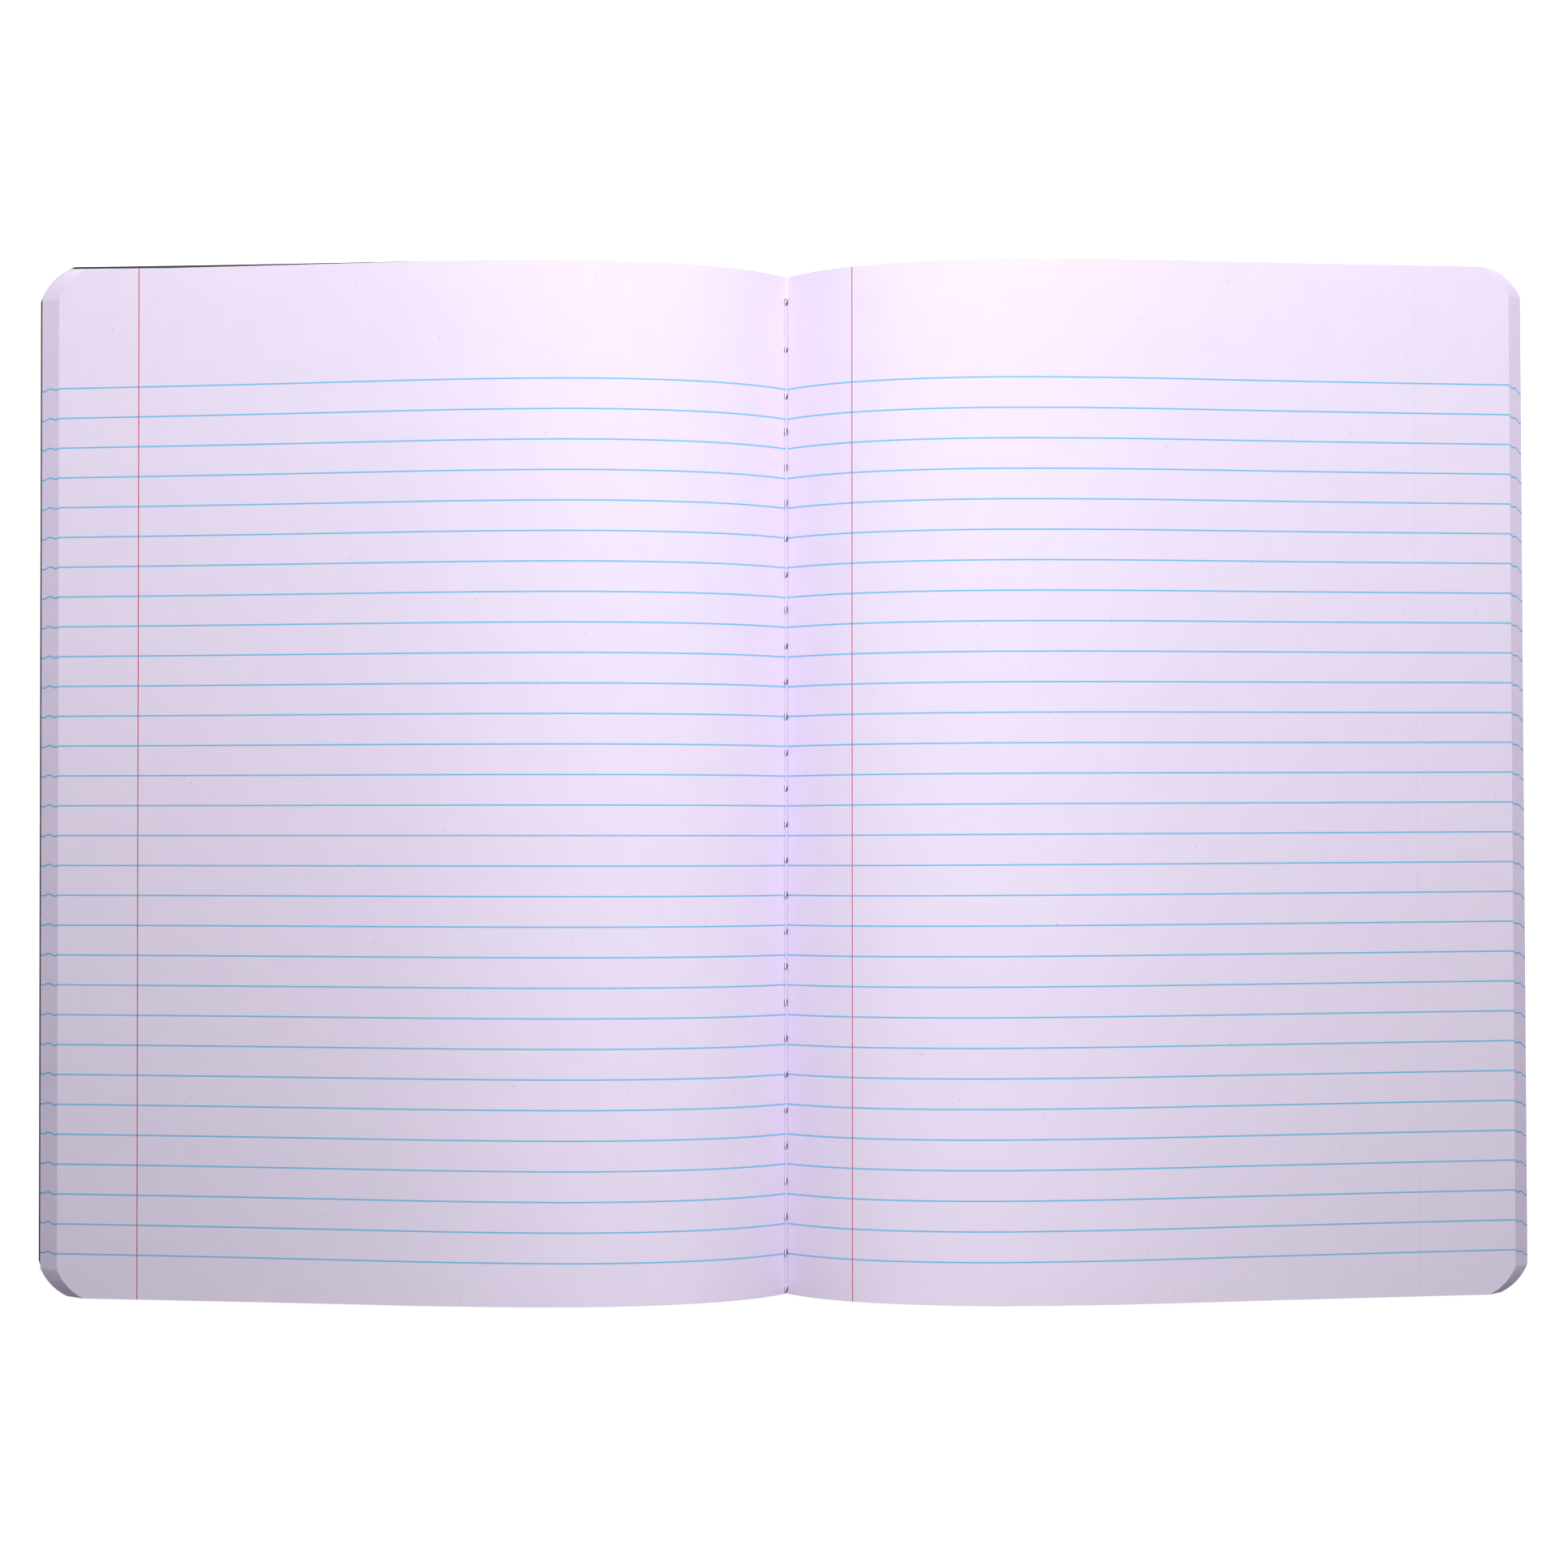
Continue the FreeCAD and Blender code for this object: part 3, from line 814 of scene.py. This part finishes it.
# The thread outside the fold, and at each hole its loop up over the inner thread: two strands
# arch from the upper right down to the lower left, no two loops quite alike. Each strand is a
# Bezier arc, given from its hole by its root, the handles over the thread and its end.
outer_tree, given = new_tree(
    "locking_run",
    {
        "Start": hole_places[0],
        "Stop": hole_places[-1],
        "Height": outer_height,
        "Left root": (-0.25 * mm, 0.5 * mm, -4.7 * mm),
        "Left up": (-0.45 * mm, 3.2 * mm, 2.55 * mm),
        "Left down": (-1.55 * mm, -3.3 * mm, 2.55 * mm),
        "Left end": (-0.3 * mm, -0.5 * mm, -4.7 * mm),
        "Right root": (0.1 * mm, 0.5 * mm, -4.7 * mm),
        "Right up": (-0.12 * mm, 3.2 * mm, 2.55 * mm),
        "Right down": (-0.42 * mm, -3.3 * mm, 2.55 * mm),
        "Right end": (0.1 * mm, -0.5 * mm, -4.7 * mm),
        "Least turn": (-0.05, -0.05, -0.25),
        "Most turn": (0.05, 0.05, 0.15),
        "Least size": (0.85, 0.85, 0.98),
        "Most size": (1.15, 1.1, 1.03),
        "Seed": 7,
        "Material": "",
    },
    {"Piece": "NodeSocketGeometry"},
)
start = add(outer_tree, "ShaderNodeCombineXYZ", 0.0, given["Start"], given["Height"])
stop = add(outer_tree, "ShaderNodeCombineXYZ", 0.0, given["Stop"], given["Height"])
run_line = add(outer_tree, "GeometryNodeCurvePrimitiveLine", start, stop, mode="POINTS")
run_thread = add(outer_tree, "GeometryNodeGroup", run_line, node_tree=ply_tree)
strands = add(outer_tree, "GeometryNodeJoinGeometry")
for side in ("Left", "Right"):
    points = [given[f"{side} {point}"] for point in ("root", "up", "down", "end")]
    strand = add(outer_tree, "GeometryNodeCurvePrimitiveBezierSegment", 24, *points)
    outer_tree.links.new(strand.outputs[0], strands.inputs[0])
arch_thread = add(outer_tree, "GeometryNodeGroup", strands, node_tree=ply_tree)
needle_holes = add(outer_tree, "GeometryNodeGroup", node_tree=hole_tree)
varied = []
for change in ("turn", "size"):
    limits = given[f"Least {change}"], given[f"Most {change}"]
    varied.append(add(outer_tree, "FunctionNodeRandomValue", *limits, data_type="FLOAT_VECTOR"))
    outer_tree.links.new(given["Seed"], varied[-1].inputs["Seed"])
loops = add(
    outer_tree, "GeometryNodeInstanceOnPoints", needle_holes, None, arch_thread, None, None, *varied
)
joined = add(outer_tree, "GeometryNodeJoinGeometry", run_thread)
outer_tree.links.new(loops.outputs[0], joined.inputs[0])
whole = add(outer_tree, "GeometryNodeRealizeInstances", joined)
finished = add(outer_tree, "GeometryNodeSetMaterial", whole, None, given["Material"])
add(outer_tree, "NodeGroupOutput", finished)

for name, tree, node in (
    ("inner_seam_thread", inner_tree, "inner_thread"),
    ("locking_thread", outer_tree, "outer_thread"),
):
    piece = grow(name, bpy.data.meshes.new(f"{name}_start"), tree, material=cotton)
    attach(piece, "page_block")
    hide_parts(node)


# Studio: a white table, a soft lamp over the head of the pages, a small one low over the fold
# and a dim even room. Table and room look white to the camera, but light the notebook no more
# than a pale table and a dim room would.
half_table, table_gap = 3.0, 0.05 * mm
table_glow = 0.85
room_light, room_white = 0.18, 1.0
quarters = (-1, -1), (1, -1), (1, 1), (-1, 1)
table_mesh = bpy.data.meshes.new("table")
table_mesh.from_pydata([(x * half_table, y * half_table, 0.0) for x, y in quarters], [], [(0, 1, 2, 3)])
table = bpy.data.objects.new("table", table_mesh)
table.location.z = -table_gap
bpy.context.scene.collection.objects.link(table)

# White melamine laminate: an even matt white, with no mark of its own
white_table, tree = new_material("white_laminate")
rays = add(tree, "ShaderNodeLightPath").outputs
seen = add(tree, "ShaderNodeMath", rays["Is Camera Ray"], rays["Is Glossy Ray"], operation="MAXIMUM")
bright = add(tree, "ShaderNodeMath", seen, table_glow, operation="MULTIPLY")
lit = add(tree, "ShaderNodeBsdfDiffuse", colour("F4F4F4"))
glow = add(tree, "ShaderNodeEmission", (1.0, 1.0, 1.0, 1.0), bright)
add(tree, "ShaderNodeOutputMaterial", add(tree, "ShaderNodeAddShader", lit, glow))
table_mesh.materials.append(white_table)

world = bpy.data.worlds.new("room")
bpy.context.scene.world = world
world.use_nodes = True
tree = world.node_tree
tree.nodes.clear()
rays = add(tree, "ShaderNodeLightPath").outputs
seen = add(tree, "ShaderNodeMath", rays["Is Camera Ray"], rays["Is Glossy Ray"], operation="MAXIMUM")
strength = add(tree, "ShaderNodeMix", seen, room_light, room_white)
add(tree, "ShaderNodeOutputWorld", add(tree, "ShaderNodeBackground", (1.0, 1.0, 1.0, 1.0), strength))


def soft_lamp(name, width, depth, watts, place, lean):
    """A soft box that looks down, leaning toward the foot."""
    lamp_data = bpy.data.lights.new(name, "AREA")
    lamp_data.shape = "RECTANGLE"
    lamp_data.size = width
    lamp_data.size_y = depth
    lamp_data.energy = watts
    lamp = bpy.data.objects.new(name, lamp_data)
    lamp.location = place
    lamp.rotation_euler = (math.radians(-lean), 0.0, 0.0)
    lamp.visible_camera = False
    bpy.context.scene.collection.objects.link(lamp)


soft_lamp("head_lamp", 0.7, 0.3, 3.05, (0.03, 0.33, 0.43), 15)
soft_lamp("fold_lamp", 0.2, 0.2, 0.12, (0.02, -0.1, 0.22), 0)

# Camera: straight over the notebook, leaning a little from the foot
camera_data = bpy.data.cameras.new("camera")
camera_data.sensor_width = 36.0
camera_data.lens = 100.5
camera = bpy.data.objects.new("camera", camera_data)
camera_tilt = math.radians(0.745)
camera.location = (-0.0006, -0.0137, 1.0555)
camera.rotation_euler = (camera_tilt, 0.0, 0.0)
bpy.context.scene.collection.objects.link(camera)
bpy.context.scene.camera = camera
bpy.context.scene.view_settings.view_transform = "Standard"
